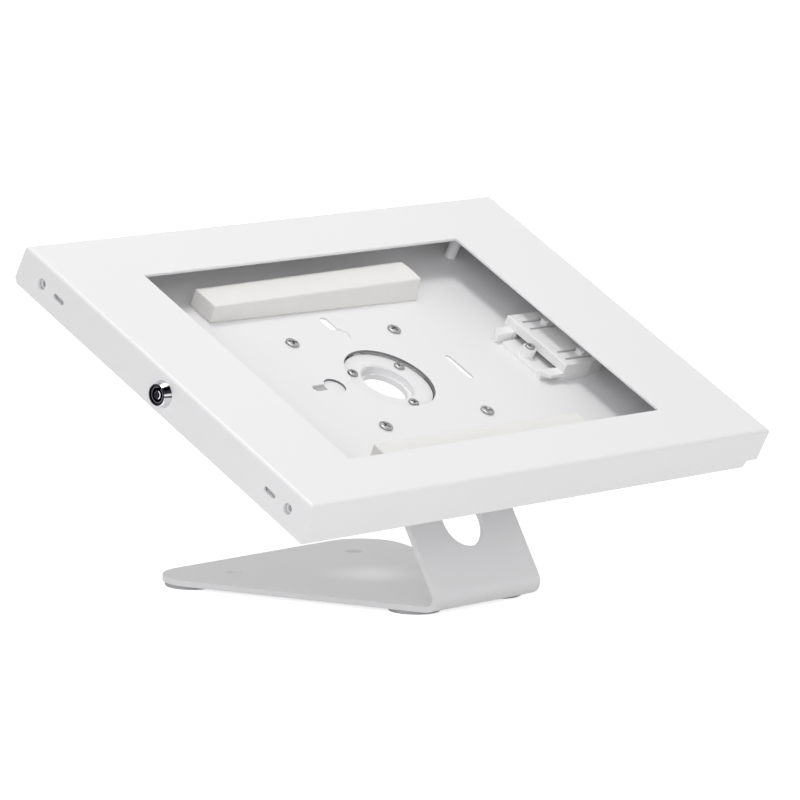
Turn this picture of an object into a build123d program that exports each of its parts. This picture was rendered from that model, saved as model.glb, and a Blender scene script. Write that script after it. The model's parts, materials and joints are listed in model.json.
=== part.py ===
from build123d import *
from math import cos, radians, sin, tan
import os

os.makedirs("parts", exist_ok=True)

# Lockable tablet enclosure on a bent steel desk stand. Millimetres, +Z up.
# The user sits at -Y. The origin is on the desk, under the middle of the whole object.

# Stand: one steel sheet with two bends, measured on its outer faces
plate_t = 3.0
bend_in = 4.0
tilt = 27.65
leg_angle = 59.3
leg_length = 101.65
leg_w = 77.2
bend_to_hub = 30.75
hub_to_end = 38.65
top_corner_r = 10.0
base_depth = 172.4
base_back_w = 177.9
base_corner_r = 23.2
leg_hole_d = 28.0
leg_hole_up = 47.3
desk_hole_d = 5.2
desk_sink_d = 9.6
desk_hole_gap = 89.0
desk_hole_inset = 29.5

# Rubber feet
foot_d = 27.0
foot_t = 2.0
foot_edge = 0.5
foot_front_x = 30.0
foot_front_inset = 28.5
foot_back_in = 21.95
foot_back_inset = 21.0

# Clearances
run_gap = 0.05
face_gap = 0.1
rim_gap = 0.4

# Swivel: ring on the stand, washer, and the turntable under the case
cable_hole_d = 24.6
ring_bore_d = 28.4
ring_lip = 1.0
ring_boss_d = 44.0
ring_flange_d = 48.6
ring_flange_t = 1.1
ring_screw_pcd = 39.9
ring_screw_count = 3
ring_screw_start = 30.4
ring_screw_d = 3.0
ring_head_d = 5.8
ring_head_t = 1.5
ring_tab_x = -1.9
ring_tab_y = 14.7
ring_tab_w = 4.2
ring_tab_l = 3.0
ring_tab_h = 0.5
stop_w = 5.0
stop_reach = 3.2
washer_t = 1.7
washer_in_d = 45.0
washer_out_d = 54.0
turntable_w = 104.0
turntable_h = 92.0
turntable_corner_r = 8.0
turntable_t = 3.7
turntable_lip_t = 1.4

# Case tray, its middle measured from the hub axis
sheet_t = 1.2
case_x = 4.865
case_y = 2.59
case_depth = 21.0
tray_top = 5.0
wall_gap = 1.2
tray_fold_r = 2.0
tray_corner_r = 3.0
hub_hole_d = 49.8
case_screw_gap = 75.0
case_screw_d = 4.0
case_head_d = 7.5
case_head_t = 1.5
keyhole_r = 40.0
keyhole_reach = 53.0
keyhole_d = 12.0
keyhole_neck = 5.0
slot_x = 53.0
slot_y = 1.0
slot_l = 21.0
slot_w = 3.6
post_x = 132.9
post_y = 93.4
post_d = 6.2
post_h = 16.0

# Cover: folded sheet with the display window
cover_w = 340.05
cover_h = 226.8
cover_t = 1.5
cover_fold_r = 1.9
left_wall = 20.8
long_wall = 22.9
hinge_wall = 19.0
hinge_notch_w = 8.0
notch_run = 1.5
corner_cut = 2.4
window_w = 229.85
window_h = 162.45
window_x = -3.55
window_y = -2.425
window_edge = 0.3
side_y = 0.2
side_row = 10.9
side_hole_y = 97.5
side_hole_d = 5.7
side_slot_y = 83.8
side_slot_l = 8.4
side_slot_w = 2.6

# Threaded inserts behind the round side holes
insert_d = 5.6
insert_bore_d = 3.4
insert_rim_d = 8.0
insert_rim_t = 0.6
insert_l = 8.0

# Piano hinge at the right lower edge
hinge_l = 210.0
knuckle_count = 7
knuckle_r = 2.0
knuckle_gap = 0.3
hinge_clear = 0.3
hinge_axis_up = 2.2
pin_r = 1.0
pin_head_r = 1.6
pin_head_t = 0.8
leaf_t = 1.3
leaf_h = 10.8

# Cam lock in the left wall
lock_face_d = 11.0
lock_flange_d = 13.8
lock_proud = 3.8
lock_body_d = 11.0
lock_flat_w = 9.8
lock_body_l = 12.45
lock_rim = 0.9
lock_recess = 0.5
plug_d = 7.2
key_pin_d = 4.4
key_deep = 6.0
key_slot_w = 1.6
key_slot_out = 0.7
nut_w = 13.0
nut_t = 3.0
cam_t = 1.5
cam_hub_d = 8.0
cam_reach = 8.2
cam_w = 5.0
cam_tail_w = 4.0
cam_screw_d = 6.0
cam_screw_t = 1.6
lock_notch_w = 18.0
lock_notch_up = 0.8
catch_gap = 0.4
catch_w = 3.6
catch_t = 1.2
catch_foot = 9.0

# Foam pads under the tablet
pad_l = 151.5
pad_w = 16.9
pad_t = 10.0
pad_back_x = 0.5
pad_back_y = 71.0
pad_front_x = 3.5
pad_front_y = -68.65
pad_edge_r = 0.8

# Tablet bracket: a fixed toothed plate with a screw boss, and a slider round it
bracket_inset = 78.19
boss_in = 6.9
boss_y = 0.5
boss_d = 7.6
boss_h = 6.4
clamp_d = 3.0
clamp_head_d = 5.6
clamp_head_t = 1.4
rack_l = 33.0
rack_t = 1.5
rack_front_y = -16.4
rack_back_y = 15.3
rack_corner_r = 3.0
rack_start = 6.0
rack_teeth = 17
tooth_pitch = 1.5
tooth_deep = 0.8
tooth_gap = 0.3
slider_in = 11.2
slider_l = 37.5
slider_taper_l = 17.0
slider_taper = 4.0
slider_front_y = -22.4
slider_back_y = 25.0
slider_h = 10.0
slider_deck_t = 2.0
slider_wall = 1.8
slider_corner_r = 4.0
slider_edge_r = 0.5
bar_up = 5.0
arm_l = 13.5
arm_w = 6.3
arm_h = 5.0
arm_foot = 2.8
arm_under = 3.0
arm_slant = 4.0
arm_teeth = 8
finger_back_y = 14.35
finger_front_y = -14.1
finger_w = 4.9
finger_slot_w = 1.6
finger_in = 4.3
finger_l = 22.0
stop_in = 18.4
stop_d = 5.0
stop_h = 2.4
stop_edge_r = 1.0

# Levels along the hub axis, from the cover's outer face inwards
floor_top = -case_depth
floor_low = floor_top - sheet_t
table_low = floor_low - turntable_t
stand_top = table_low - washer_t
lip_top = table_low + turntable_lip_t
flange_low = lip_top + face_gap
ring_top = flange_low + ring_flange_t

# Places along x from the hub axis, tied to the cover's edges
case_left = case_x - cover_w / 2
rack_x = case_x + cover_w / 2 - bracket_inset
boss_x = rack_x + boss_in
slider_x = rack_x + slider_in
finger_x = slider_x + finger_in
stop_x = slider_x + stop_in

# Where the hub stands, so that the whole footprint is centred on the origin
sin_t = sin(radians(tilt))
cos_t = cos(radians(tilt))
sin_leg = sin(radians(leg_angle))
cos_leg = cos(radians(leg_angle))
front_v = case_y - cover_h / 2
back_v = case_y + cover_h / 2
front_reach = (front_v + cover_fold_r) * cos_t + cover_fold_r * sin_t - cover_fold_r
back_reach = back_v * cos_t + long_wall * sin_t
hub_x = lock_proud / 2 - case_x
hub_y = -(front_reach + back_reach) / 2
hub_z = foot_t + leg_length * sin_leg + bend_to_hub * sin_t - stand_top * cos_t

# Frame of the tilted enclosure: x to the right, y up the slope, z out of the face
deck = Plane(origin=(hub_x, hub_y, hub_z), x_dir=(1, 0, 0), z_dir=(0, -sin_t, cos_t))
outward = Axis(deck.origin, deck.z_dir)
rightward = Axis(deck.origin, deck.x_dir)


def level(up, x=0.0, y=0.0):
    """A plane parallel to the face, at a level, with its origin at x, y from the hub axis."""
    return Plane(origin=deck.from_local_coords((x, y, up)), x_dir=deck.x_dir, z_dir=deck.z_dir)


def side_plane(x, y, up):
    """A plane that faces right: its x runs up the slope and its y out of the face."""
    return Plane(origin=deck.from_local_coords((x, y, up)), x_dir=deck.y_dir, z_dir=deck.x_dir)


def end_plane(x, y, up):
    """A plane that faces down the slope: its x runs right and its y out of the face."""
    return Plane(origin=deck.from_local_coords((x, y, up)), x_dir=deck.x_dir, z_dir=-deck.y_dir)


def save(builder, label):
    """Labels a finished piece and writes its STEP file."""
    builder.part.label = label
    export_step(builder.part, f"parts/{label}.step")


def pan_screws(places, seat, head_d, head_t, shank_d, shank_l):
    """Pan head screws that stand on a level of the tilted enclosure."""
    with BuildPart() as screws:
        with BuildSketch(level(seat)):
            with Locations(*places):
                Circle(head_d / 2)
        extrude(amount=head_t)
        chamfer(screws.edges().group_by(outward)[-1], head_t / 2)
        with BuildSketch(level(seat)):
            with Locations(*places):
                Circle(shank_d / 2)
        extrude(amount=-shank_l)
    return screws


# Stand plate: its side profile is folded from one line, then trimmed in plan
hub_top = deck.from_local_coords((0, 0, stand_top))
upper_bend = hub_top - deck.y_dir * bend_to_hub
lower_bend = upper_bend - Vector(0, cos_leg, sin_leg) * leg_length
top_end = hub_top + deck.y_dir * hub_to_end
base_back = lower_bend + Vector(0, base_depth, 0)
fold_r = bend_in + plate_t
inner_run = bend_in * tan(radians(180 - leg_angle) / 2)
inner_corner = plate_t * tan(radians(180 - leg_angle) / 2)
flare_y = lower_bend.Y + inner_corner + inner_run * cos_leg
bend_centre_z = foot_t + fold_r
leg_plane = Plane(origin=lower_bend, x_dir=(1, 0, 0), z_dir=(0, -sin_leg, cos_leg))

with BuildPart() as stand_plate:
    with BuildSketch(Plane.YZ.offset(hub_x)):
        with BuildLine():
            FilletPolyline(
                (base_back.Y, base_back.Z),
                (lower_bend.Y, lower_bend.Z),
                (upper_bend.Y, upper_bend.Z),
                (top_end.Y, top_end.Z),
                radius=fold_r,
            )
            offset(amount=plate_t, side=Side.RIGHT)
        make_face()
    extrude(amount=base_back_w / 2, both=True)
    with BuildSketch(Plane.XY.offset(bend_centre_z)):
        with Locations((hub_x, 0)):
            Rectangle(2 * base_back_w, 2 * base_depth)
            Rectangle(leg_w, 2 * base_depth, mode=Mode.SUBTRACT)
    extrude(amount=hub_z, mode=Mode.SUBTRACT)
    with BuildSketch() as plan:
        with BuildLine():
            Polyline(
                (hub_x - leg_w / 2, lower_bend.Y - fold_r),
                (hub_x + leg_w / 2, lower_bend.Y - fold_r),
                (hub_x + leg_w / 2, flare_y),
                (hub_x + base_back_w / 2, base_back.Y),
                (hub_x - base_back_w / 2, base_back.Y),
                (hub_x - leg_w / 2, flare_y),
                close=True,
            )
        make_face()
        fillet(plan.vertices().group_by(Axis.Y)[-1], base_corner_r)
    extrude(amount=2 * hub_z, mode=Mode.INTERSECT)
    end_edges = stand_plate.edges().filter_by(outward).group_by(Axis.Z)[-1]
    fillet(end_edges, top_corner_r)
    with BuildSketch(leg_plane):
        with Locations((0, leg_hole_up)):
            Circle(leg_hole_d / 2)
    extrude(amount=-plate_t, mode=Mode.SUBTRACT)
    with BuildSketch(level(stand_top)):
        Circle(cable_hole_d / 2)
        with PolarLocations(ring_screw_pcd / 2, ring_screw_count, ring_screw_start):
            Circle(ring_screw_d / 2 + run_gap)
    extrude(amount=-plate_t, mode=Mode.SUBTRACT)
    with Locations((hub_x, base_back.Y - desk_hole_inset, foot_t + plate_t)):
        with GridLocations(desk_hole_gap, 1, 2, 1):
            CounterSinkHole(desk_hole_d / 2, desk_sink_d / 2, depth=plate_t, counter_sink_angle=90)
save(stand_plate, "stand_plate")

# Rubber feet under the base
foot_places = {
    "foot_front_left": (hub_x - foot_front_x, lower_bend.Y + foot_front_inset),
    "foot_front_right": (hub_x + foot_front_x, lower_bend.Y + foot_front_inset),
    "foot_back_left": (hub_x - base_back_w / 2 + foot_back_in, base_back.Y - foot_back_inset),
    "foot_back_right": (hub_x + base_back_w / 2 - foot_back_in, base_back.Y - foot_back_inset),
}
for foot_name, foot_place in foot_places.items():
    with BuildPart() as foot:
        with BuildSketch():
            with Locations(foot_place):
                Circle(foot_d / 2)
        extrude(amount=foot_t)
        chamfer(foot.edges().group_by(Axis.Z)[0], foot_edge)
    save(foot, foot_name)

# Glide washer on the stand's top plate
with BuildPart() as glide_washer:
    with BuildSketch(level(stand_top)):
        Circle(washer_out_d / 2)
        Circle(washer_in_d / 2, mode=Mode.SUBTRACT)
    extrude(amount=washer_t)
save(glide_washer, "glide_washer")

# Swivel ring: a boss that the turntable turns on, and a flange that holds it down
with BuildPart() as swivel_ring:
    with BuildSketch(level(stand_top)):
        Circle(ring_boss_d / 2)
    extrude(amount=flange_low - stand_top)
    with BuildSketch(level(flange_low)):
        Circle(ring_flange_d / 2)
        with Locations((0, ring_flange_d / 4 + stop_reach / 2)):
            Rectangle(stop_w, ring_flange_d / 2 + stop_reach)
    extrude(amount=ring_flange_t)
    with BuildSketch(level(stand_top)):
        Circle(ring_bore_d / 2)
    extrude(amount=ring_top - stand_top, mode=Mode.SUBTRACT)
    top_circles = swivel_ring.edges().filter_by(GeomType.CIRCLE).group_by(outward)[-1]
    chamfer(top_circles.sort_by(SortBy.RADIUS)[0], ring_lip)
    with BuildSketch(level(stand_top)):
        with PolarLocations(ring_screw_pcd / 2, ring_screw_count, ring_screw_start):
            Circle(ring_screw_d / 2 + run_gap)
    extrude(amount=ring_top - stand_top, mode=Mode.SUBTRACT)
    with BuildSketch(level(flange_low)):
        with Locations((ring_tab_x, ring_tab_y)):
            Rectangle(ring_tab_w, ring_tab_l)
    extrude(amount=ring_flange_t + ring_tab_h)
save(swivel_ring, "swivel_ring")

ring_screw_places = [
    tuple(place.position)[:2]
    for place in PolarLocations(ring_screw_pcd / 2, ring_screw_count, ring_screw_start).local_locations
]
ring_screws = pan_screws(
    ring_screw_places,
    ring_top,
    ring_head_d,
    ring_head_t,
    ring_screw_d,
    ring_top - stand_top + plate_t,
)
save(ring_screws, "ring_screws")

# Turntable: bearing bore, recess for the ring's flange, and a half round pocket for its stop
case_screw_places = [
    (side * case_screw_gap / 2, end * case_screw_gap / 2) for side in (-1, 1) for end in (-1, 1)
]
pocket_r = ring_flange_d / 2 + stop_reach + rim_gap
with BuildPart() as turntable:
    with BuildSketch(level(table_low)):
        RectangleRounded(turntable_w, turntable_h, turntable_corner_r)
        Circle(ring_boss_d / 2 + run_gap, mode=Mode.SUBTRACT)
        with Locations(*case_screw_places):
            Circle(case_screw_d / 2 + run_gap, mode=Mode.SUBTRACT)
    extrude(amount=turntable_t)
    with BuildSketch(level(lip_top)):
        Circle(pocket_r)
        with Locations((0, -pocket_r - stop_w / 2 - run_gap)):
            Rectangle(2 * pocket_r, 2 * pocket_r, mode=Mode.SUBTRACT)
        Circle(ring_flange_d / 2 + rim_gap)
    extrude(amount=turntable_t - turntable_lip_t, mode=Mode.SUBTRACT)
save(turntable, "turntable")

# Case tray: folded floor and walls, with keyholes, cable hole, lock notch and two posts
tray_left = cover_w / 2 - cover_t - wall_gap
hinge_x = cover_w / 2 - cover_t - hinge_clear - knuckle_r
tray_right = hinge_x - knuckle_r - hinge_clear
tray_half_h = cover_h / 2 - cover_t - wall_gap
lock_notch_low = floor_top + lock_notch_up
with BuildPart() as case_tray:
    with BuildSketch(level(floor_low, case_x, case_y)):
        with Locations(((tray_right - tray_left) / 2, 0)):
            Rectangle(tray_left + tray_right, 2 * tray_half_h)
    extrude(amount=-floor_low - tray_top)
    fillet(case_tray.edges().filter_by(outward), tray_corner_r)
    fillet(case_tray.edges().group_by(outward)[0], tray_fold_r)
    offset(amount=-sheet_t, openings=case_tray.faces().sort_by(outward)[-1])
    with BuildSketch(level(floor_low)):
        Circle(hub_hole_d / 2)
        with Locations(*case_screw_places):
            Circle(case_screw_d / 2 + run_gap)
        with Locations((0, keyhole_r), (-keyhole_r, 0)):
            Circle(keyhole_d / 2)
        with Locations((0, keyhole_reach / 2 + keyhole_r / 2)):
            SlotOverall(keyhole_reach - keyhole_r + keyhole_neck, keyhole_neck, rotation=90)
        with Locations((-keyhole_reach / 2 - keyhole_r / 2, 0)):
            SlotOverall(keyhole_reach - keyhole_r + keyhole_neck, keyhole_neck)
        with Locations((slot_x, slot_y)):
            SlotOverall(slot_l, slot_w, rotation=90)
        with Locations((boss_x, boss_y)):
            Circle(clamp_d / 2 + run_gap)
    extrude(amount=sheet_t, mode=Mode.SUBTRACT)
    with BuildSketch(side_plane(case_x - tray_left, side_y, lock_notch_low)):
        Rectangle(lock_notch_w, -lock_notch_low, align=(Align.CENTER, Align.MIN))
    extrude(amount=sheet_t, mode=Mode.SUBTRACT)
    with BuildSketch(side_plane(case_x - tray_left, side_y, -side_row)):
        with Locations((-side_hole_y, 0), (side_hole_y, 0)):
            Circle(insert_d / 2 + run_gap)
    extrude(amount=sheet_t, mode=Mode.SUBTRACT)
    with BuildSketch(level(floor_top)):
        with Locations((post_x, post_y), (-post_x, post_y)):
            Circle(post_d / 2)
    extrude(amount=post_h)
save(case_tray, "case_tray")

# Screws that hold the case on the turntable
case_screws = pan_screws(
    case_screw_places,
    floor_top,
    case_head_d,
    case_head_t,
    case_screw_d,
    sheet_t + turntable_t,
)
save(case_screws, "case_screws")

# Threaded inserts in the tray's left wall, behind the cover's round holes
with BuildPart() as side_inserts:
    for insert_y in (-side_hole_y, side_hole_y):
        wall_plane = side_plane(case_x - tray_left, side_y + insert_y, -side_row)
        with BuildSketch(wall_plane):
            Circle(insert_rim_d / 2)
        extrude(amount=-insert_rim_t)
        with BuildSketch(wall_plane):
            Circle(insert_d / 2)
        extrude(amount=insert_l)
        with BuildSketch(wall_plane.offset(-insert_rim_t)):
            Circle(insert_bore_d / 2)
        extrude(amount=insert_rim_t + insert_l, mode=Mode.SUBTRACT)
save(side_inserts, "side_inserts")

# Cover: folded sheet with walls of three depths, display window, lock hole and side holes
with BuildPart() as cover:
    with BuildSketch(level(0, case_x, case_y)):
        Rectangle(cover_w, cover_h)
    extrude(amount=-long_wall)
    fillet(cover.edges().group_by(outward)[-1], cover_fold_r)
    offset(amount=-cover_t, openings=cover.faces().sort_by(outward)[0])
    with BuildSketch(level(0, case_x + window_x, case_y + window_y)):
        Rectangle(window_w, window_h)
    extrude(amount=-cover_t, mode=Mode.SUBTRACT)
    window_rim = cover.faces().sort_by(outward)[-1].inner_wires()[0].edges()
    chamfer(window_rim, window_edge)
    with BuildSketch(end_plane(case_x, back_v, 0)):
        with BuildLine():
            Polyline(
                (-cover_w / 2 - cover_t, -left_wall),
                (-cover_w / 2 + cover_t, -left_wall),
                (-cover_w / 2 + cover_t + notch_run, -long_wall),
                (-cover_w / 2 - cover_t, -long_wall),
                close=True,
            )
        make_face()
        with BuildLine():
            Polyline(
                (cover_w / 2 + cover_t, -hinge_wall),
                (cover_w / 2 - hinge_notch_w, -hinge_wall),
                (cover_w / 2 - hinge_notch_w - notch_run, -long_wall),
                (cover_w / 2 + cover_t, -long_wall),
                close=True,
            )
        make_face()
    extrude(amount=cover_h, mode=Mode.SUBTRACT)
    with BuildSketch(side_plane(case_left, case_y, -left_wall)):
        with BuildLine():
            Polyline(
                (cover_h / 2 - corner_cut, 0),
                (cover_h / 2, 0),
                (cover_h / 2, corner_cut),
                close=True,
            )
        make_face()
    extrude(amount=cover_t, mode=Mode.SUBTRACT)
    with BuildSketch(side_plane(case_left, side_y, -side_row)):
        with Locations((-side_hole_y, 0), (side_hole_y, 0)):
            Circle(side_hole_d / 2)
        with Locations((-side_slot_y, 0), (side_slot_y, 0)):
            SlotOverall(side_slot_l, side_slot_w)
    extrude(amount=cover_t, mode=Mode.SUBTRACT)
    with BuildSketch(side_plane(case_left, side_y, -side_row)):
        Circle(lock_body_d / 2 + run_gap)
        Rectangle(2 * lock_body_d, lock_flat_w + 2 * run_gap, mode=Mode.INTERSECT)
    extrude(amount=cover_t, mode=Mode.SUBTRACT)
save(cover, "cover")

# Piano hinge: two leaves with alternate knuckles, and the pin
hinge_u = case_x + hinge_x
hinge_up = floor_top + hinge_axis_up
hinge_back = case_y + hinge_l / 2
knuckle_l = hinge_l / knuckle_count


def hinge_leaf(leaf_x, first):
    """A leaf: a plate on one side of the axis, its own knuckles, and room for the other leaf's."""
    with BuildPart() as leaf:
        with BuildSketch(end_plane(hinge_u, hinge_back, hinge_up)):
            with Locations((leaf_x, leaf_h / 2)):
                Rectangle(leaf_t, leaf_h)
        extrude(amount=hinge_l)
        for index in range(knuckle_count):
            start = hinge_back - index * knuckle_l
            if index % 2 == first:
                with BuildSketch(end_plane(hinge_u, start - knuckle_gap / 2, hinge_up)):
                    Circle(knuckle_r)
                extrude(amount=knuckle_l - knuckle_gap)
            else:
                with BuildSketch(end_plane(hinge_u, start, hinge_up)):
                    Circle(knuckle_r + hinge_clear)
                extrude(amount=knuckle_l, mode=Mode.SUBTRACT)
        with BuildSketch(end_plane(hinge_u, hinge_back, hinge_up)):
            Circle(pin_r + run_gap)
        extrude(amount=hinge_l, mode=Mode.SUBTRACT)
    return leaf


leaf_offset = knuckle_r + hinge_clear - leaf_t / 2
hinge_leaf_case = hinge_leaf(-leaf_offset, 0)
save(hinge_leaf_case, "hinge_leaf_case")
hinge_leaf_cover = hinge_leaf(leaf_offset, 1)
save(hinge_leaf_cover, "hinge_leaf_cover")

with BuildPart() as hinge_pin:
    with BuildSketch(end_plane(hinge_u, hinge_back, hinge_up)):
        Circle(pin_r)
    extrude(amount=hinge_l)
    with BuildSketch(end_plane(hinge_u, hinge_back, hinge_up)):
        Circle(pin_head_r)
    extrude(amount=-pin_head_t)
    with BuildSketch(end_plane(hinge_u, hinge_back - hinge_l, hinge_up)):
        Circle(pin_head_r)
    extrude(amount=pin_head_t)
save(hinge_pin, "hinge_pin")

# Cam lock: body through the wall, nut behind it, ring keyway round the plug's centre pin
lock_face = side_plane(case_left - lock_proud, side_y, -side_row)
lock_seat = side_plane(case_left, side_y, -side_row)
with BuildPart() as lock_body:
    with BuildSketch(lock_seat):
        Circle(lock_flange_d / 2)
    with BuildSketch(lock_face):
        Circle(lock_face_d / 2)
    loft()
    with BuildSketch(lock_seat):
        Circle(lock_body_d / 2)
        Rectangle(2 * lock_body_d, lock_flat_w, mode=Mode.INTERSECT)
    extrude(amount=lock_body_l)
    with BuildSketch(lock_face):
        Circle(lock_face_d / 2 - lock_rim)
    extrude(amount=lock_recess, mode=Mode.SUBTRACT)
    with BuildSketch(lock_face):
        Circle(plug_d / 2 + run_gap)
    extrude(amount=lock_proud + lock_body_l, mode=Mode.SUBTRACT)
    with BuildSketch(lock_face):
        key_slot_reach = plug_d / 2 + run_gap + key_slot_out
        Rectangle(key_slot_w, key_slot_reach, align=(Align.CENTER, Align.MIN))
    extrude(amount=key_deep, mode=Mode.SUBTRACT)
save(lock_body, "lock_body")

with BuildPart() as lock_nut:
    with BuildSketch(side_plane(case_left + cover_t, side_y, -side_row)):
        RegularPolygon(nut_w / 2, 6, major_radius=False)
        Circle(lock_body_d / 2 + face_gap, mode=Mode.SUBTRACT)
    extrude(amount=nut_t)
save(lock_nut, "lock_nut")

cam_u = case_left + lock_body_l + face_gap
with BuildPart() as lock_plug:
    with BuildSketch(lock_face.offset(lock_recess)):
        Circle(key_pin_d / 2)
    extrude(amount=key_deep)
    with BuildSketch(lock_face.offset(key_deep)):
        Circle(plug_d / 2)
    extrude(amount=lock_proud - key_deep + lock_body_l + face_gap)
    with BuildSketch(side_plane(cam_u, side_y, -side_row)):
        Rectangle(cam_tail_w, cam_tail_w)
    extrude(amount=cam_t)
save(lock_plug, "lock_plug")

with BuildPart() as lock_cam:
    with BuildSketch(side_plane(cam_u, side_y, -side_row)):
        Circle(cam_reach)
        with Locations((0, -cam_reach / 2)):
            Rectangle(cam_w, cam_reach, mode=Mode.INTERSECT)
        Circle(cam_hub_d / 2)
        Rectangle(cam_tail_w + 2 * run_gap, cam_tail_w + 2 * run_gap, mode=Mode.SUBTRACT)
    extrude(amount=cam_t)
save(lock_cam, "lock_cam")

with BuildPart() as cam_screw:
    with BuildSketch(side_plane(cam_u + cam_t, side_y, -side_row)):
        Circle(cam_screw_d / 2)
    extrude(amount=cam_screw_t)
    chamfer(cam_screw.edges().sort_by(rightward)[-1], cam_screw_t / 3)
save(cam_screw, "cam_screw")

# Catch that the turned cam swings under
catch_low = -side_row + cam_w / 2 + catch_gap
catch_nose = lock_body_d / 2 + catch_gap
catch_post = cam_reach + catch_gap
catch_u = cam_u + cam_t / 2 - catch_w / 2
with BuildPart() as lock_catch:
    with BuildSketch(side_plane(catch_u, side_y, 0)):
        with BuildLine():
            Polyline(
                (catch_post, floor_top),
                (catch_post + catch_foot, floor_top),
                (catch_post + catch_foot, floor_top + catch_t),
                (catch_post + catch_t, floor_top + catch_t),
                (catch_post + catch_t, catch_low + catch_t),
                (catch_nose, catch_low + catch_t),
                (catch_nose, catch_low),
                (catch_post, catch_low),
                close=True,
            )
        make_face()
    extrude(amount=catch_w)
save(lock_catch, "lock_catch")

# Foam pads on the tray floor
pad_places = {
    "foam_pad_back": (pad_back_x, pad_back_y),
    "foam_pad_front": (pad_front_x, pad_front_y),
}
for pad_name, pad_place in pad_places.items():
    with BuildPart() as pad:
        with BuildSketch(level(floor_top)):
            with Locations(pad_place):
                Rectangle(pad_l, pad_w)
        extrude(amount=pad_t)
        fillet(pad.edges().group_by(outward)[-1], pad_edge_r)
    save(pad, pad_name)


def saw_teeth(x0, crest, side, count):
    """Points of a row of saw teeth along x, whose crests reach a line from the given side."""
    root = crest - side * tooth_deep
    points = []
    for index in range(count):
        points.append((x0 + index * tooth_pitch, root))
        points.append((x0 + (index + 0.5) * tooth_pitch, crest))
    points.append((x0 + count * tooth_pitch, root))
    return points


# Bracket plate on the tray floor: toothed along both edges, with the screw boss
with BuildPart() as bracket_base:
    with BuildSketch(level(floor_top)) as rack_face:
        with BuildLine():
            Polyline(
                (rack_x, rack_front_y + tooth_deep),
                *saw_teeth(rack_x + rack_start, rack_front_y, -1, rack_teeth),
                (rack_x + rack_l, rack_front_y + tooth_deep),
                (rack_x + rack_l, rack_back_y - tooth_deep),
                *reversed(saw_teeth(rack_x + rack_start, rack_back_y, 1, rack_teeth)),
                (rack_x, rack_back_y - tooth_deep),
                close=True,
            )
        make_face()
        fillet(rack_face.vertices().group_by(Axis.X)[0], rack_corner_r)
    extrude(amount=rack_t)
    with BuildSketch(level(floor_top)):
        with Locations((boss_x, boss_y)):
            Circle(boss_d / 2)
    extrude(amount=boss_h)
    with BuildSketch(level(floor_top)):
        with Locations((boss_x, boss_y)):
            Circle(clamp_d / 2 + run_gap)
    extrude(amount=boss_h, mode=Mode.SUBTRACT)
save(bracket_base, "bracket_base")

clamp_screw = pan_screws(
    [(boss_x, boss_y)],
    floor_top + boss_h,
    clamp_head_d,
    clamp_head_t,
    clamp_d,
    boss_h + sheet_t,
)
save(clamp_screw, "clamp_screw")

# Bracket slider: hollow tapered deck with sprung fingers and stops, and two toothed arms with raised lips
slider_low = floor_top + run_gap
slider_top = floor_top + slider_h
back_arm_y = rack_back_y + tooth_gap
front_arm_y = rack_front_y - tooth_gap
arm_x = slider_x - arm_l


def slider_outline(inset):
    """Points of the slider's plan, which tapers to its outer end, at an inset from the edge."""
    taper_x = slider_x + slider_l - slider_taper_l
    return [
        (slider_x + inset, slider_front_y + inset),
        (taper_x, slider_front_y + inset),
        (slider_x + slider_l - inset, slider_front_y + slider_taper + inset),
        (slider_x + slider_l - inset, slider_back_y - slider_taper - inset),
        (taper_x, slider_back_y - inset),
        (slider_x + inset, slider_back_y - inset),
    ]


def arm_outline(inner_y, side):
    """Points of one arm: teeth on its inner side and a slanted end."""
    return [
        (slider_x + slider_wall, inner_y + side * tooth_deep),
        *reversed(saw_teeth(arm_x, inner_y, -side, arm_teeth)),
        (arm_x, inner_y + side * (arm_w - arm_slant)),
        (arm_x + arm_slant, inner_y + side * arm_w),
        (slider_x + slider_wall, inner_y + side * arm_w),
    ]


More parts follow.
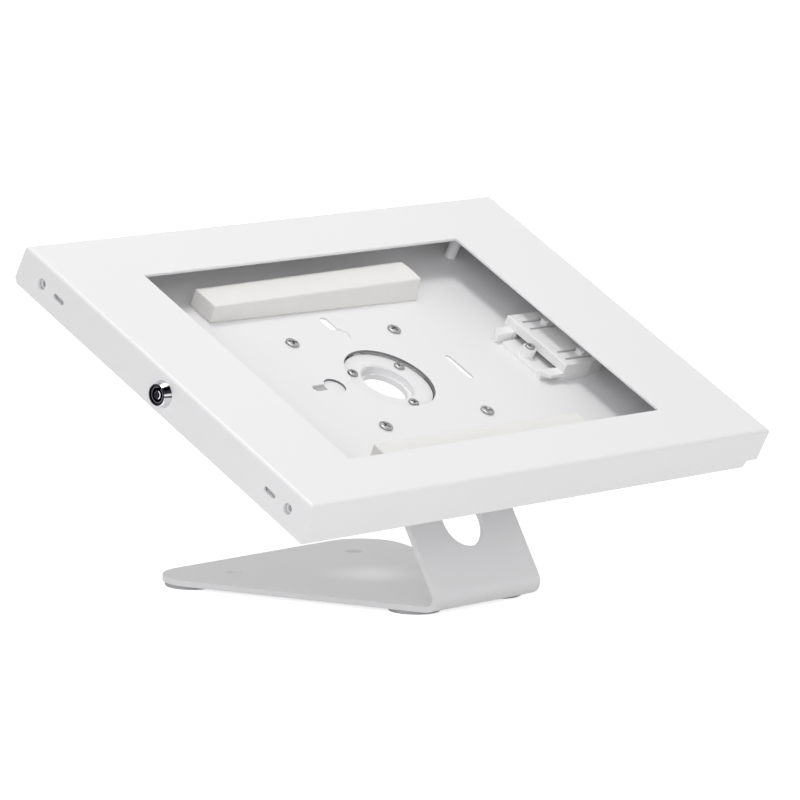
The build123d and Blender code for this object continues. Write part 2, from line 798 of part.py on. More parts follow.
with BuildPart() as bracket_slider:
    with BuildSketch(level(slider_low)) as slider_face:
        with BuildLine():
            Polyline(*slider_outline(0), close=True)
        make_face()
        fillet(slider_face.vertices().group_by(Axis.X)[-1], slider_corner_r)
    extrude(amount=slider_top - slider_low)
    fillet(bracket_slider.edges().group_by(outward)[-1], slider_edge_r)
    with BuildSketch(level(slider_low)) as hollow_face:
        with BuildLine():
            Polyline(*slider_outline(slider_wall), close=True)
        make_face()
        fillet(hollow_face.vertices().group_by(Axis.X)[-1], slider_corner_r - slider_wall)
    extrude(amount=slider_top - slider_deck_t - slider_low, mode=Mode.SUBTRACT)
    with BuildSketch(level(slider_low)):
        with Locations((slider_x + slider_wall / 2, (back_arm_y + front_arm_y) / 2)):
            Rectangle(slider_wall, back_arm_y - front_arm_y)
    extrude(amount=bar_up - run_gap, mode=Mode.SUBTRACT)
    with BuildSketch(level(slider_top)):
        for finger_y in (finger_back_y, finger_front_y):
            with Locations((finger_x + finger_l / 2, finger_y)):
                with GridLocations(0, finger_w + finger_slot_w, 1, 2):
                    Rectangle(finger_l, finger_slot_w)
    extrude(amount=-slider_deck_t, mode=Mode.SUBTRACT)
    with BuildSketch(level(slider_top - slider_deck_t)):
        with Locations((stop_x, finger_back_y), (stop_x, finger_front_y)):
            Circle(finger_w / 2)
    extrude(amount=slider_deck_t)
    with BuildSketch(level(slider_top)):
        with Locations((stop_x, finger_back_y), (stop_x, finger_front_y)):
            Circle(stop_d / 2)
    extrude(amount=stop_h)
    fillet(bracket_slider.edges().group_by(outward)[-1], stop_edge_r)
    with BuildSketch(level(slider_low)):
        for inner_y, side in ((back_arm_y, 1), (front_arm_y, -1)):
            with BuildLine():
                Polyline(*arm_outline(inner_y, side), close=True)
            make_face()
    extrude(amount=arm_h)
    with BuildSketch(level(slider_low)):
        for inner_y, side in ((back_arm_y, 1), (front_arm_y, -1)):
            with Locations((arm_x + arm_l / 2, inner_y + side * (arm_foot + arm_w) / 2)):
                Rectangle(arm_l, arm_w - arm_foot)
    extrude(amount=arm_under, mode=Mode.SUBTRACT)
save(bracket_slider, "bracket_slider")
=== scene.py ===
import json
from math import cos, pi, radians, sin

import bmesh
import bpy
from mathutils import Matrix, Vector, noise


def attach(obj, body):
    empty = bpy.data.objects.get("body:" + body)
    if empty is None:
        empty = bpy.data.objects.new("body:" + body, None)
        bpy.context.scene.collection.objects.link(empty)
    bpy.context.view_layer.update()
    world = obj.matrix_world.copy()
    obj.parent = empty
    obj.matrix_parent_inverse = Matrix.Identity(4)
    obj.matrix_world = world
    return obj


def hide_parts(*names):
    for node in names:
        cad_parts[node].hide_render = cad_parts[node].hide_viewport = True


# Lockable tablet enclosure on a bent steel desk stand.
# Metres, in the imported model's own frame: +X right, +Y away from the user, +Z up.
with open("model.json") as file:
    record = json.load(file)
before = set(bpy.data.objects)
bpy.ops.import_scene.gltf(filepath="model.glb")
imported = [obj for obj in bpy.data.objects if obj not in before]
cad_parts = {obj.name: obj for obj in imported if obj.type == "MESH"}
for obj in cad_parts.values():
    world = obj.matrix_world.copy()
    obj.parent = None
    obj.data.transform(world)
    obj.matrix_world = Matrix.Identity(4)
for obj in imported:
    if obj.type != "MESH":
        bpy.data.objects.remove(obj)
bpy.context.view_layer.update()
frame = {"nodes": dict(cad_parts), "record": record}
nodes = frame["nodes"]
scene = bpy.context.scene
mm = 0.001

# The enclosure's own axes: to the right, up its slope, and out of its face
TILT = radians(27.65)
RIGHT = Vector((1, 0, 0))
SLOPE = Vector((0, cos(TILT), sin(TILT)))
OUT = Vector((0, -sin(TILT), cos(TILT)))

# Foam pads: mesh cells, rounded edges, and ripples with finer ones on them
PAD_CELLS = (150, 20, 12)
PAD_CORNER = 0.55 * mm
PAD_SAG = 0.14 * mm
PAD_RIPPLES = 90
PAD_FINE = 7
PAD_FINE_SHARE = 0.35

# Foam pads: how far the top sinks, how much of that its crown keeps, and how far the sides draw in
PAD_TOP_SINK = PAD_SAG * 1.2
PAD_CROWN = PAD_SAG * 0.8
PAD_CROWN_POWER = 2.5
PAD_SIDE_IN = PAD_SAG * 0.8
PAD_SIDE_POWER = 6

# Foam pads: torn ends that slant in at the foot, and the back pad's right end that stands proud
PAD_END_FROM = 0.97
PAD_ROUGH_END = 0.3 * mm
PAD_SLANT = 0.9 * mm
PAD_TORN_ACROSS = 500
PAD_TORN_UP = 700
BACK_PAD_RISE = 2.0 * mm
BACK_PAD_SPREAD = 3.2 * mm
PAD_RISE_AT_LEFT = 0.15

# Screws: heads, shanks and places, and how far each one is turned, in radians
CASE_SCREW_GAP = 75 * mm
CASE_HEAD_D = 7.5 * mm
CASE_HEAD_H = 1.5 * mm
CASE_SHANK_D = 4.0 * mm
CASE_TURNS = (0.3, 1.1, 0.7, 0.1)
RING_SCREW_R = 19.95 * mm
RING_FIRST_DEGREES = 30.4
RING_HEAD_D = 5.8 * mm
RING_HEAD_H = 1.5 * mm
RING_SHANK_D = 3.0 * mm
RING_TURNS = (0.5, 0.2, 1.0)
CLAMP_HEAD_D = 5.6 * mm
CLAMP_HEAD_H = 1.4 * mm
CLAMP_SHANK_D = 3.0 * mm
CLAMP_TURNS = (0.4,)

# Pan head: its side as pairs of shares, of the height and of the radius, then its dome
SCREW_SIDES = 48
HEAD_SIDE = ((0.0, 0.9), (0.2, 1.0), (0.5, 0.99))
HEAD_DOME_FROM = 0.5
HEAD_DOME_RISE = 0.46
HEAD_DOME_STEPS = 6
HEAD_CROWN_R = 0.74
HEAD_DOME_WIDTH = 0.25
HEAD_TOP_R = 0.3
SHARP_EDGE = radians(32)

# Cross recess: shares of the head's diameter and height, and the scale of its floor
CROSS_LENGTH = 0.66
CROSS_WIDTH = 0.15
CROSS_DEPTH = 0.8
CROSS_TAPER = 0.8

# Colours of the finishes
WHITE_COAT = (0.865, 0.86, 0.868)
WHITE_COAT_SHADE = (0.85, 0.845, 0.853)
# Painted shade in the hub hole, in the left keyhole and round the bearing
HOLE_SHADE_GREY = (0.2, 0.2, 0.205)
ZINC = (0.48, 0.475, 0.47)
ZINC_SHADE = (0.33, 0.33, 0.335)
PALE_PLATE = (0.87, 0.87, 0.875)
PALE_PLATE_SHADE = (0.82, 0.82, 0.825)
# Painted shade at the swivel plate's left end, seen through the left keyhole
PLATE_END_SHADE = (0.45, 0.445, 0.455)
CHROME = (0.70, 0.70, 0.72)
CHROME_MARK = (0.62, 0.61, 0.64)
# Painted dark reflection on the lock's plated side
CHROME_DARK_REFLECTION = (0.035, 0.032, 0.042)
# The lock's face: black for painted shade and dark reflection with specks, a painted highlight ring,
# and a painted highlight on its edge
LOCK_FACE_SHADE_BLACK = (0.006, 0.005, 0.010)
LOCK_SPECK = (0.05, 0.048, 0.062)
LOCK_RING_HIGHLIGHT = (0.16, 0.155, 0.18)
LOCK_PAINTED_HIGHLIGHT = (0.9, 0.9, 0.92)
PLASTIC = (0.87, 0.87, 0.87)
PLASTIC_SHADE = (0.85, 0.85, 0.85)
RUBBER = (0.50, 0.50, 0.51)
RUBBER_SHADE = (0.46, 0.46, 0.47)
FOAM = (0.88, 0.875, 0.855)
FOAM_SHADE = (0.84, 0.835, 0.81)

# Lock: the radius of its black face, painted shade and dark reflection, its painted highlight ring, the
# painted highlight on one side of its edge, and the painted dark reflections streaking its side
LOCK_DARK_R = 5.35 * mm
LOCK_HIGHLIGHT_RING = (3.6 * mm, 3.85 * mm)
LOCK_HIGHLIGHT_EDGE = (1.75 * mm, 2.2 * mm)
LOCK_HIGHLIGHT_SIDE = radians(25)
LOCK_HIGHLIGHT_FROM = 0.7 * mm
LOCK_SOFT = 0.12 * mm
LOCK_DARK_REFLECTION = (radians(36), radians(70))
LOCK_THIN_DARK_REFLECTION = (radians(18), radians(26))
LOCK_REFLECTION_SOFT = 0.04

# Painted shade: dark grey in the walls of the tray's hub hole and left keyhole and round the bearing on
# the swivel plate, and darker at the plate's left end
HOLE_SHADE_R = 24.903 * mm
HOLE_SHADE_SOFT = 0.006 * mm
KEYHOLE_OUT = 40 * mm
KEYHOLE_SHADE_R = 6.002 * mm
PLATE_SHADE_R = 26 * mm
PLATE_END = 45.5 * mm
PLATE_SOFT = 0.5 * mm

# Camera: its place from the middle of the hub's washer, where it looks, and its lens
CAMERA_FROM_HUB = Vector((-1.85895, -1.769365, 0.391323))
CAMERA_FORWARD = Vector((0.71773, 0.67928, -0.15324))
CAMERA_ACROSS = Vector((0.6887, -0.7249, 0.0124))
CAMERA_LENS = 228.9
CAMERA_SENSOR = 36
CAMERA_REACH = 50

# Lamps, which face the middle of the case, and the sky
CASE_MIDDLE = (0, 0, 0.13)
KEY_SIZE = 0.4
KEY_PLACE = (-0.06, -0.16, 1.41)
KEY_WATTS = 6.0
FILL_SIZE = 1.4
FILL_PLACE = (-1.6, -1.3, 0.5)
FILL_WATTS = 12.6
FILL_COLOUR = (1.0, 0.985, 1.0)
SKY = 0.55
WHITE = (1, 1, 1, 1)

# Studio floor, and the cards that only reflections show: size, place and facing
FLOOR_SIZE = (12, 12)
FLOOR_WHITE = (0.9, 0.9, 0.9, 1)
FLOOR_LIFT = 0.74
CARD_BLACK = (0.01, 0.01, 0.012, 1)
DARK_CARDS = {
    "dark_card_front": ((0.3, 1.75), (0.05, -1.0, 1.04), (0.0, 1.0, 0.0)),
    "dark_card_low": ((0.1, 0.3), (-0.115, -0.41, 0.003), (0.0, 0.0, 1.0)),
    "dark_card_back": ((0.3, 1.3), (0.48, 0.84, 1.0), (-0.5, -0.8, -0.3)),
}
GLINT = 5.0
GLINT_SIZE = (0.6, 0.3)
GLINT_PLACE = (-0.1, 0.05, 1.6)


class Value:
    """A shader socket. An expression on values adds the Math nodes that work it out."""

    def __init__(self, finish, socket):
        self.finish = finish
        self.socket = socket

    def math(self, operation, *terms):
        """Adds one Math node on the given terms."""
        return self.finish.node("ShaderNodeMath", {"operation": operation}, dict(enumerate(terms)))

    def __add__(self, other):
        return self.math("ADD", self, other)

    def __radd__(self, other):
        return self.math("ADD", other, self)

    def __sub__(self, other):
        return self.math("SUBTRACT", self, other)

    def __rsub__(self, other):
        return self.math("SUBTRACT", other, self)

    def __mul__(self, other):
        return self.math("MULTIPLY", self, other)

    def __rmul__(self, other):
        return self.math("MULTIPLY", other, self)

    def clipped(self):
        """Kept between 0 and 1."""
        return self.finish.node("ShaderNodeClamp", {}, {"Value": self})

    def above(self, limit, softness):
        """0 below a limit and 1 above it, with a short ramp between."""
        return ((self - limit) * (1 / softness)).clipped()

    def between(self, low, high, softness):
        """1 between two limits."""
        return self.above(low, softness) * (1 - self.above(high, softness))


class Finish:
    """A material or world, and the nodes that make it."""

    def __init__(self, owner):
        self.owner = owner
        owner.use_nodes = True
        self.tree = owner.node_tree
        self.tree.nodes.clear()

    def node(self, kind, settings, inputs, output=0):
        """Adds a node: its settings first, then values or links on its sockets."""
        made = self.tree.nodes.new(kind)
        for name, value in settings.items():
            setattr(made, name, value)
        for key, value in inputs.items():
            if isinstance(value, Value):
                self.tree.links.new(value.socket, made.inputs[key])
            else:
                made.inputs[key].default_value = value
        return Value(self, made.outputs[output]) if made.outputs else None

    def place(self):
        """The point on the piece, in metres, as it was at rest."""
        return self.node("ShaderNodeTexCoord", {}, {}, "Object")

    def noise(self, scale, detail=2.0, roughness=0.5, where=None):
        """Smooth noise from 0 to 1, with about `scale` grains in a metre."""
        return self.node(
            "ShaderNodeTexNoise",
            {},
            {
                "Vector": where or self.place(),
                "Scale": scale,
                "Detail": detail,
                "Roughness": roughness,
            },
        )

    def along(self, centre, direction):
        """Metres from a point of the piece, along a direction."""
        offset = self.node(
            "ShaderNodeVectorMath", {"operation": "SUBTRACT"}, {0: self.place(), 1: centre}
        )
        return self.node(
            "ShaderNodeVectorMath", {"operation": "DOT_PRODUCT"}, {0: offset, 1: direction}, "Value"
        )

    def radius(self, centre, across, up):
        """Metres from an axis through a point, square to two directions."""
        x, y = self.along(centre, across), self.along(centre, up)
        square = x * x + y * y
        return square.math("SQRT", square)

    def tint(self, mask, low, high):
        """A colour between two colours."""
        ends = [end if isinstance(end, Value) else (*end, 1) for end in (low, high)]
        return self.node(
            "ShaderNodeMix", {"data_type": "RGBA"}, {"Factor": mask, 6: ends[0], 7: ends[1]}, 2
        )

    def bump(self, height, depth, strength=1.0, normal=None):
        """A normal for a height from 0 to 1 that stands `depth` metres proud."""
        inputs = {"Height": height, "Distance": depth, "Strength": strength}
        if normal:
            inputs["Normal"] = normal
        return self.node("ShaderNodeBump", {}, inputs)

    def seen(self):
        """1 for what the camera sees, also in metal or through glass, and 0 for light on the object."""
        rays = self.tree.nodes.new("ShaderNodeLightPath").outputs
        kinds = ("Is Camera Ray", "Is Glossy Ray", "Is Transmission Ray")
        camera, glossy, through = (Value(self, rays[kind]) for kind in kinds)
        return (camera + glossy + through).clipped()

    def glow(self, strength):
        """White light from the surface itself."""
        return self.node("ShaderNodeEmission", {}, {"Color": WHITE, "Strength": strength})

    def surface(self, inputs):
        """Ends the material in a Principled shader."""
        return self.ends_in(self.node("ShaderNodeBsdfPrincipled", {}, inputs))

    def ends_in(self, shader):
        """Ends the material in a shader. Returns the finished material."""
        self.node("ShaderNodeOutputMaterial", {}, {"Surface": shader})
        return self.owner


def new_finish(name):
    return Finish(bpy.data.materials.new(name))


def tilted_box(node):
    """Lowest and highest corners of a CAD piece along the enclosure's own axes."""
    points = [
        Vector((v.co.dot(RIGHT), v.co.dot(SLOPE), v.co.dot(OUT))) for v in nodes[node].data.vertices
    ]
    low = Vector(min(p[i] for p in points) for i in range(3))
    high = Vector(max(p[i] for p in points) for i in range(3))
    return low, high


def tilted_middle(node):
    """The middle of a CAD piece, measured along the enclosure's own axes."""
    low, high = tilted_box(node)
    return (low + high) / 2


def node_middle(node):
    """The middle of a CAD piece, as a point of the frame."""
    middle = tilted_middle(node)
    return RIGHT * middle.x + SLOPE * middle.y + OUT * middle.z


def powder_coat(name, hub=None):
    """Baked powder on steel: fine orange peel, satin.

    Given the hub's middle, painted shade darkens the walls of the hub hole and of the left keyhole.
    """
    finish = new_finish(name)
    peel = finish.noise(850, detail=3, roughness=0.55)
    grain = finish.noise(4200, detail=1)
    drift = finish.noise(9, detail=2)
    normal = finish.bump(peel, depth=0.02 * mm, strength=0.5)
    normal = finish.bump(grain, depth=0.006 * mm, strength=0.5, normal=normal)
    paint = finish.tint(drift, WHITE_COAT_SHADE, WHITE_COAT)
    # Painted shade: the walls of the hub hole and the left keyhole are dark grey
    if hub:
        keyhole = hub - RIGHT * KEYHOLE_OUT
        unshaded = finish.radius(hub, RIGHT, SLOPE).above(HOLE_SHADE_R, HOLE_SHADE_SOFT)
        unshaded = unshaded * finish.radius(keyhole, RIGHT, SLOPE).above(KEYHOLE_SHADE_R, HOLE_SHADE_SOFT)
        paint = finish.tint(unshaded, HOLE_SHADE_GREY, paint)
    return finish.surface(
        {
            "Base Color": paint,
            "Roughness": 0.36 + 0.1 * peel,
            "Specular IOR Level": 0.42,
            "Normal": normal,
        }
    )


def zinc_plate(name):
    """Bright zinc on small hardware, with faint clouds in the plating."""
    finish = new_finish(name)
    cloud = finish.noise(700, detail=3, roughness=0.6)
    scratch = finish.noise(5200, detail=2)
    return finish.surface(
        {
            "Base Color": finish.tint(cloud, ZINC_SHADE, ZINC),
            "Metallic": 1.0,
            "Roughness": 0.24 + 0.2 * cloud,
            "Normal": finish.bump(scratch, depth=0.004 * mm, strength=0.4),
        }
    )


def swivel_plate(name, hub):
    """Pale plated steel, with painted shade round the bearing and at its left end."""
    finish = new_finish(name)
    cloud = finish.noise(300, detail=3, roughness=0.6)
    # Painted shade round the bearing, below the hub hole
    bearing_shade = 1 - finish.radius(hub, RIGHT, SLOPE).above(PLATE_SHADE_R, PLATE_SOFT)
    # Painted shade: darker past the plate's left end
    end = 1 - finish.along(hub, RIGHT).above(-PLATE_END, PLATE_SOFT)
    plate = finish.tint(cloud, PALE_PLATE_SHADE, PALE_PLATE)
    plate = finish.tint(end, plate, PLATE_END_SHADE)
    return finish.surface(
        {
            "Base Color": finish.tint(bearing_shade, plate, HOLE_SHADE_GREY),
            "Roughness": 0.4 + 0.2 * cloud,
        }
    )


def polished_chrome(name, centre):
    """Mirror plating on the lock. Its face is painted black for shade and dark reflection, with a
    painted grey highlight ring and a painted bright highlight on its edge; painted dark reflections
    streak its side.
    """
    finish = new_finish(name)
    mark = finish.noise(420, detail=4, roughness=0.65)
    speck = finish.noise(1500, detail=2, roughness=0.6)
    radius = finish.radius(centre, SLOPE, OUT)
    side = radius.above(LOCK_DARK_R, LOCK_SOFT)
    # Painted highlight: a thin grey ring on the black face
    ring = radius.between(*LOCK_HIGHLIGHT_RING, LOCK_SOFT)
    # Painted highlight: a bright arc on the lit side of the face's inner edge
    lit_side = finish.along(centre, OUT * sin(LOCK_HIGHLIGHT_SIDE) - SLOPE * cos(LOCK_HIGHLIGHT_SIDE))
    edge_highlight = radius.between(*LOCK_HIGHLIGHT_EDGE, LOCK_SOFT) * lit_side.above(LOCK_HIGHLIGHT_FROM, LOCK_SOFT)
    # Painted reflection: dark streaks on the plated side, at set angles round the lock
    up, down = finish.along(centre, OUT), finish.along(centre, -SLOPE)
    angle = up.math("ARCTAN2", up, down)
    dark_reflection = angle.between(*LOCK_DARK_REFLECTION, LOCK_REFLECTION_SOFT)
    dark_reflection = dark_reflection + angle.between(*LOCK_THIN_DARK_REFLECTION, LOCK_REFLECTION_SOFT)
    # Painted shade and dark reflection: the face is black with fine specks
    face = finish.tint(speck.above(0.45, 0.2), LOCK_FACE_SHADE_BLACK, LOCK_SPECK)
    face = finish.tint(ring, face, LOCK_RING_HIGHLIGHT)
    face = finish.tint(edge_highlight, face, LOCK_PAINTED_HIGHLIGHT)
    plated = finish.tint(mark, CHROME_MARK, CHROME)
    plated = finish.tint(dark_reflection, plated, CHROME_DARK_REFLECTION)
    return finish.surface(
        {
            "Base Color": finish.tint(side, face, plated),
            "Metallic": 1.0,
            "Roughness": 0.03 + 0.06 * mark,
        }
    )


def moulded_piece(name, colour, shade, roughness, texture):
    """Moulded plastic or rubber: an even colour and the fine spark texture of its mould."""
    finish = new_finish(name)
    spark = finish.noise(texture, detail=2, roughness=0.6)
    cloud = finish.noise(60, detail=2)
    return finish.surface(
        {
            "Base Color": finish.tint(cloud, shade, colour),
            "Roughness": roughness + 0.08 * spark,
            "Normal": finish.bump(spark, depth=0.012 * mm, strength=0.5),
        }
    )


def closed_foam(name):
    """Closed cell foam: small cells, cut open on the skived faces."""
    finish = new_finish(name)
    where = finish.place()
    cells = finish.node(
        "ShaderNodeTexVoronoi", {"feature": "F1"}, {"Vector": where, "Scale": 1500.0}, "Distance"
    )
    cloud = finish.noise(90, detail=3, roughness=0.6, where=where)
    skin = finish.noise(420, detail=3, roughness=0.6, where=where)
    normal = finish.bump(skin, depth=0.12 * mm, strength=0.55)
    normal = finish.bump(cells, depth=0.1 * mm, strength=0.5, normal=normal)
    return finish.surface(
        {
            "Base Color": finish.tint(cloud, FOAM_SHADE, FOAM),
            "Roughness": 0.86 + 0.1 * skin,
            "Specular IOR Level": 0.25,
            "Normal": normal,
        }
    )


FINISHES = {
    "powder_coat": powder_coat("white_powder_coat"),
    "zinc_steel": zinc_plate("bright_zinc_plate"),
    "lock_chrome": polished_chrome("polished_lock_chrome", node_middle("lock_body")),
    "white_plastic": moulded_piece(
        "white_moulded_plastic", PLASTIC, PLASTIC_SHADE, roughness=0.3, texture=2600
    ),
    "foot_rubber": moulded_piece(
        "pale_grey_rubber", RUBBER, RUBBER_SHADE, roughness=0.6, texture=1800
    ),
    "white_foam": closed_foam("closed_cell_foam"),
}

# The turntable and the tray carry painted shade round the bearing. The inserts take the case's own
# powder coat
HUB = node_middle("glide_washer")
OWN_FINISHES = {
    "turntable": swivel_plate("pale_swivel_plate", HUB),
    "case_tray": powder_coat("white_powder_coat_tray", HUB),
    "side_inserts": FINISHES["powder_coat"],
}

# Every other CAD piece takes the finish of its slot in the record
for piece in frame["record"]["subparts"]:
    for material_slot in nodes[piece["node"]].material_slots:
        material_slot.material = OWN_FINISHES.get(piece["node"], FINISHES[piece["material_slot"]])


def soft_point(place, half, seed, rise, spread):
    """Where a point of a foam strip comes to lie. Its place in the plain strip runs from -1 to 1."""
    point = Vector(place[i] * half[i] for i in range(3))
    core = Vector(max(-half[i] + PAD_CORNER, min(half[i] - PAD_CORNER, point[i])) for i in range(3))
    rounding = point - core

    # The lower half is rounded at its upright edges only
    if point.z < 0:
        rounding.z = 0
        core.z = point.z
    reach = rounding.length
    if reach > PAD_CORNER:
        point = core + rounding * (PAD_CORNER / reach)

    # Ripples on the top and the long sides
    spot = point * PAD_RIPPLES + Vector((seed, seed * 2, 0))
    ripple = noise.noise(spot) * PAD_SAG
    fine = noise.noise(spot * PAD_FINE) * PAD_SAG * PAD_FINE_SHARE
    crown = 1 - abs(place.y) ** PAD_CROWN_POWER
    top = max(0.0, place.z)
    point.z += top * (ripple + fine - PAD_TOP_SINK + PAD_CROWN * crown)
    point.y -= place.y * abs(place.y) ** PAD_SIDE_POWER * (PAD_SIDE_IN + ripple + fine)

    # Torn ends
    height = (place.z + 1) / 2
    end = max(0.0, (abs(place.x) - PAD_END_FROM) / (1 - PAD_END_FROM))
    torn = noise.noise(Vector((seed, point.y * PAD_TORN_ACROSS, point.z * PAD_TORN_UP)))
    point.x -= place.x * end * (PAD_ROUGH_END * (0.5 + torn))
    point.x -= place.x * end * PAD_SLANT * (1 - height)

    # Higher toward the right, with the foot of the front face further out
    rightness = (place.x + 1) / 2
    point.z += rise * (PAD_RISE_AT_LEFT + (1 - PAD_RISE_AT_LEFT) * rightness) * height
    point.y += spread * rightness * (1 - height) * min(0.0, place.y)
    return point


def foam_pad(node, seed, rise=0.0, spread=0.0):
    """A die cut foam strip with soft edges and torn, uneven ends.

    Its right end is higher by `rise`, and the foot of its front face is further out by `spread`.
    """
    low, high = tilted_box(node)
    half = (high - low) / 2
    middle = (low + high) / 2
    bm = bmesh.new()
    bmesh.ops.create_cube(bm, size=1.0)
    for axis, cells in enumerate(PAD_CELLS):
        along = [e for e in bm.edges if abs((e.verts[0].co - e.verts[1].co)[axis]) > 0.5]
        bmesh.ops.subdivide_edges(bm, edges=along, cuts=cells - 1, use_grid_fill=True)
    for vert in bm.verts:
        vert.co = soft_point(vert.co * 2, half, seed, rise, spread)
    turn = Matrix((RIGHT, SLOPE, OUT)).transposed()
    bm.transform(Matrix.Translation(turn @ middle) @ turn.to_4x4())
    bm.normal_update()
    mesh = bpy.data.meshes.new(node + "_soft")
    bm.to_mesh(mesh)
    bm.free()
    for face in mesh.polygons:
        face.use_smooth = True
    mesh.materials.append(FINISHES["white_foam"])
    pad = bpy.data.objects.new(node + "_soft", mesh)
    scene.collection.objects.link(pad)
    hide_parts(node)
    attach(pad, "case")


foam_pad("foam_pad_back", 3, BACK_PAD_RISE, BACK_PAD_SPREAD)
foam_pad("foam_pad_front", 11)


def solid(name, outline, levels):
    """A closed solid through copies of one outline: a height and a scale for each level."""
    bm = bmesh.new()
    rings = [[bm.verts.new((x * scale, y * scale, z)) for x, y in outline] for z, scale in levels]
    count = len(outline)
    for lower, upper in zip(rings, rings[1:]):
        for i in range(count):
            j = (i + 1) % count
            bm.faces.new((lower[i], lower[j], upper[j], upper[i]))
    bm.faces.new(reversed(rings[0]))
    bm.faces.new(rings[-1])
    bmesh.ops.recalc_face_normals(bm, faces=bm.faces)
    mesh = bpy.data.meshes.new(name)
    bm.to_mesh(mesh)
    bm.free()
    made = bpy.data.objects.new(name, mesh)
    scene.collection.objects.link(made)
    return made


def screw_blank(head_d, head_h, shank_d, shank_l):
    """A plain pan head screw, its seat at the origin."""
    angles = [2 * pi * i / SCREW_SIDES for i in range(SCREW_SIDES)]
    circle = [(cos(angle), sin(angle)) for angle in angles]
    r = head_d / 2
    levels = [(-shank_l, shank_d / 2), (0, shank_d / 2)]
    levels += [(head_h * up, r * share) for up, share in HEAD_SIDE]
    for step in range(1, HEAD_DOME_STEPS + 1):
        angle = step * pi / 2 / HEAD_DOME_STEPS
        up = HEAD_DOME_FROM + HEAD_DOME_RISE * sin(angle)
        levels.append((head_h * up, r * (HEAD_CROWN_R + HEAD_DOME_WIDTH * cos(angle))))
    levels.append((head_h, r * HEAD_TOP_R))
    return solid("screw_blank", circle, levels)


def cross_recess(head_d, head_h):
    """The cross that is cut from a screw's head, wider toward the top."""
    half_length, half_width = head_d * CROSS_LENGTH / 2, head_d * CROSS_WIDTH / 2
    arm = [(half_length, -half_width), (half_length, half_width), (half_width, half_width)]
    cross = []
    for c, s in ((1, 0), (0, 1), (-1, 0), (0, -1)):
        cross += [(x * c - y * s, x * s + y * c) for x, y in arm]
    depth = head_h * CROSS_DEPTH
    levels = [(head_h - depth, CROSS_TAPER), (head_h + depth, 2 - CROSS_TAPER)]
    return solid("screw_recess", cross, levels)


def cross_screw(head_d, head_h, shank_d, shank_l):
    """One pan head screw with a cross recess. Returns the finished mesh."""
    screw = screw_blank(head_d, head_h, shank_d, shank_l)
    recess = cross_recess(head_d, head_h)
    cut = screw.modifiers.new("cross", "BOOLEAN")
    cut.operation = "DIFFERENCE"
    cut.solver = "EXACT"
    cut.object = recess
    ready = screw.evaluated_get(bpy.context.evaluated_depsgraph_get())
    mesh = bpy.data.meshes.new_from_object(ready)
    for blank in (screw, recess):
        bpy.data.objects.remove(blank)
    return mesh


def cross_screws(node, body, places, head_d, head_h, shank_d, turns):
    """Stands for a CAD node's plain screws: the same heads and shanks, with their recesses."""
    low, high = tilted_box(node)
    seat = high.z - head_h
    one = cross_screw(head_d, head_h, shank_d, seat - low.z)
    bm = bmesh.new()
    axes = Matrix((RIGHT, SLOPE, OUT)).transposed().to_4x4()
    for (u, v), turn in zip(places, turns):
        start = len(bm.verts)
        bm.from_mesh(one)
        bm.verts.ensure_lookup_table()
        spin = Matrix.Translation((u, v, seat)) @ Matrix.Rotation(turn, 4, "Z")
        bmesh.ops.transform(bm, matrix=axes @ spin, verts=bm.verts[start:])
    mesh = bpy.data.meshes.new(node + "_cross")
    bm.to_mesh(mesh)
    bm.free()
    mesh.materials.append(FINISHES["zinc_steel"])
    for face in mesh.polygons:
        face.use_smooth = True
    mesh.set_sharp_from_angle(angle=SHARP_EDGE)
    screws = bpy.data.objects.new(node + "_cross", mesh)
    scene.collection.objects.link(screws)
    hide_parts(node)
    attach(screws, body)


# Screws, on the same centres as the CAD's plain ones
middle = tilted_middle("case_screws")
half_gap = CASE_SCREW_GAP / 2
corners = [(middle.x + i * half_gap, middle.y + j * half_gap) for i in (-1, 1) for j in (-1, 1)]
cross_screws("case_screws", "case", corners, CASE_HEAD_D, CASE_HEAD_H, CASE_SHANK_D, CASE_TURNS)
middle = tilted_middle("glide_washer")
angles = [radians(RING_FIRST_DEGREES + 120 * step) for step in range(3)]
ring = [(middle.x + RING_SCREW_R * cos(a), middle.y + RING_SCREW_R * sin(a)) for a in angles]
cross_screws("ring_screws", "stand", ring, RING_HEAD_D, RING_HEAD_H, RING_SHANK_D, RING_TURNS)
boss = [tilted_middle("clamp_screw").xy]
cross_screws("clamp_screw", "case", boss, CLAMP_HEAD_D, CLAMP_HEAD_H, CLAMP_SHANK_D, CLAMP_TURNS)


def card(name, size, centre, facing, paper):
    """A flat sheet of the studio, square to a direction."""
    mesh = bpy.data.meshes.new(name)
    half_x, half_y = size[0] / 2, size[1] / 2
    corners = [(-half_x, -half_y, 0), (half_x, -half_y, 0), (half_x, half_y, 0), (-half_x, half_y, 0)]
    mesh.from_pydata(corners, [], [(0, 1, 2, 3)])
    mesh.materials.append(paper)
    sheet = bpy.data.objects.new(name, mesh)
    scene.collection.objects.link(sheet)
    sheet.rotation_mode = "QUATERNION"
    sheet.rotation_quaternion = Vector(facing).to_track_quat("Z", "Y")
    sheet.location = centre
    return sheet


def reflected_card(name, size, centre, facing, paper):
    """A card that is kept out of everything but reflections."""
    sheet = card(name, size, centre, facing, paper)
    sheet.visible_camera = False
    sheet.visible_diffuse = False
    sheet.visible_shadow = False
    sheet.visible_transmission = False


def floor_paper():
    """White to the camera, and it keeps the object's soft shadow."""
    paper = new_finish("studio_floor_paper")
    matt = paper.node("ShaderNodeBsdfDiffuse", {}, {"Color": FLOOR_WHITE})
    glow = paper.glow(paper.seen() * FLOOR_LIFT)
    return paper.ends_in(paper.node("ShaderNodeAddShader", {}, {0: matt, 1: glow}))


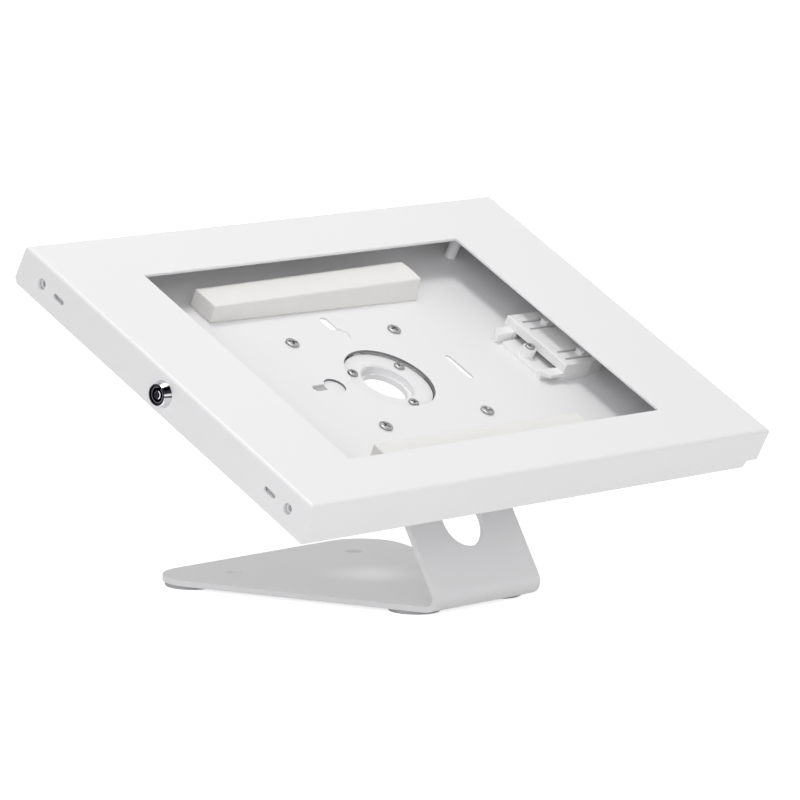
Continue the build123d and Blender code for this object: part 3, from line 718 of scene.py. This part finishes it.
def bright_paper():
    """Paper that gives off the glint on the folded edges and the lock."""
    paper = new_finish("bright_paper")
    return paper.ends_in(paper.glow(GLINT))


card("studio_floor", FLOOR_SIZE, (0, 0, 0), (0, 0, 1), floor_paper())
black_paper = new_finish("black_paper").surface({"Base Color": CARD_BLACK, "Roughness": 0.9})
for name, (size, centre, facing) in DARK_CARDS.items():
    reflected_card(name, size, centre, facing, black_paper)
reflected_card("glint_strip", GLINT_SIZE, GLINT_PLACE, (0, 0, -1), bright_paper())

# Sky: a level glow for the object, plain white behind it
scene.world = bpy.data.worlds.new("studio")
sky = Finish(scene.world)
level = SKY + sky.seen() * (1.0 - SKY)
backdrop = sky.node("ShaderNodeBackground", {}, {"Color": WHITE, "Strength": level})
sky.node("ShaderNodeOutputWorld", {}, {"Surface": backdrop})


def softbox(name, size, centre, watts, colour=(1, 1, 1)):
    """A square area lamp that faces the middle of the case."""
    lamp = bpy.data.lights.new(name, "AREA")
    lamp.shape = "SQUARE"
    lamp.size = size
    lamp.energy = watts
    lamp.color = colour
    holder = bpy.data.objects.new(name, lamp)
    scene.collection.objects.link(holder)
    holder.location = centre
    holder.rotation_mode = "QUATERNION"
    holder.rotation_quaternion = (Vector(CASE_MIDDLE) - Vector(centre)).to_track_quat("-Z", "Y")


softbox("key_softbox", KEY_SIZE, KEY_PLACE, KEY_WATTS)
softbox("fill_softbox", FILL_SIZE, FILL_PLACE, FILL_WATTS, FILL_COLOUR)

# Camera at the photograph's place
forward = CAMERA_FORWARD.normalized()
across = (CAMERA_ACROSS - forward * CAMERA_ACROSS.dot(forward)).normalized()
above = across.cross(forward)
lens = bpy.data.cameras.new("photo_camera")
lens.lens = CAMERA_LENS
lens.sensor_width = CAMERA_SENSOR
lens.clip_end = CAMERA_REACH
camera = bpy.data.objects.new("photo_camera", lens)
camera.matrix_world = (
    Matrix.Translation(HUB + CAMERA_FROM_HUB)
    @ Matrix((across, above, -forward)).transposed().to_4x4()
)
scene.collection.objects.link(camera)
scene.camera = camera
scene.view_settings.view_transform = "Standard"
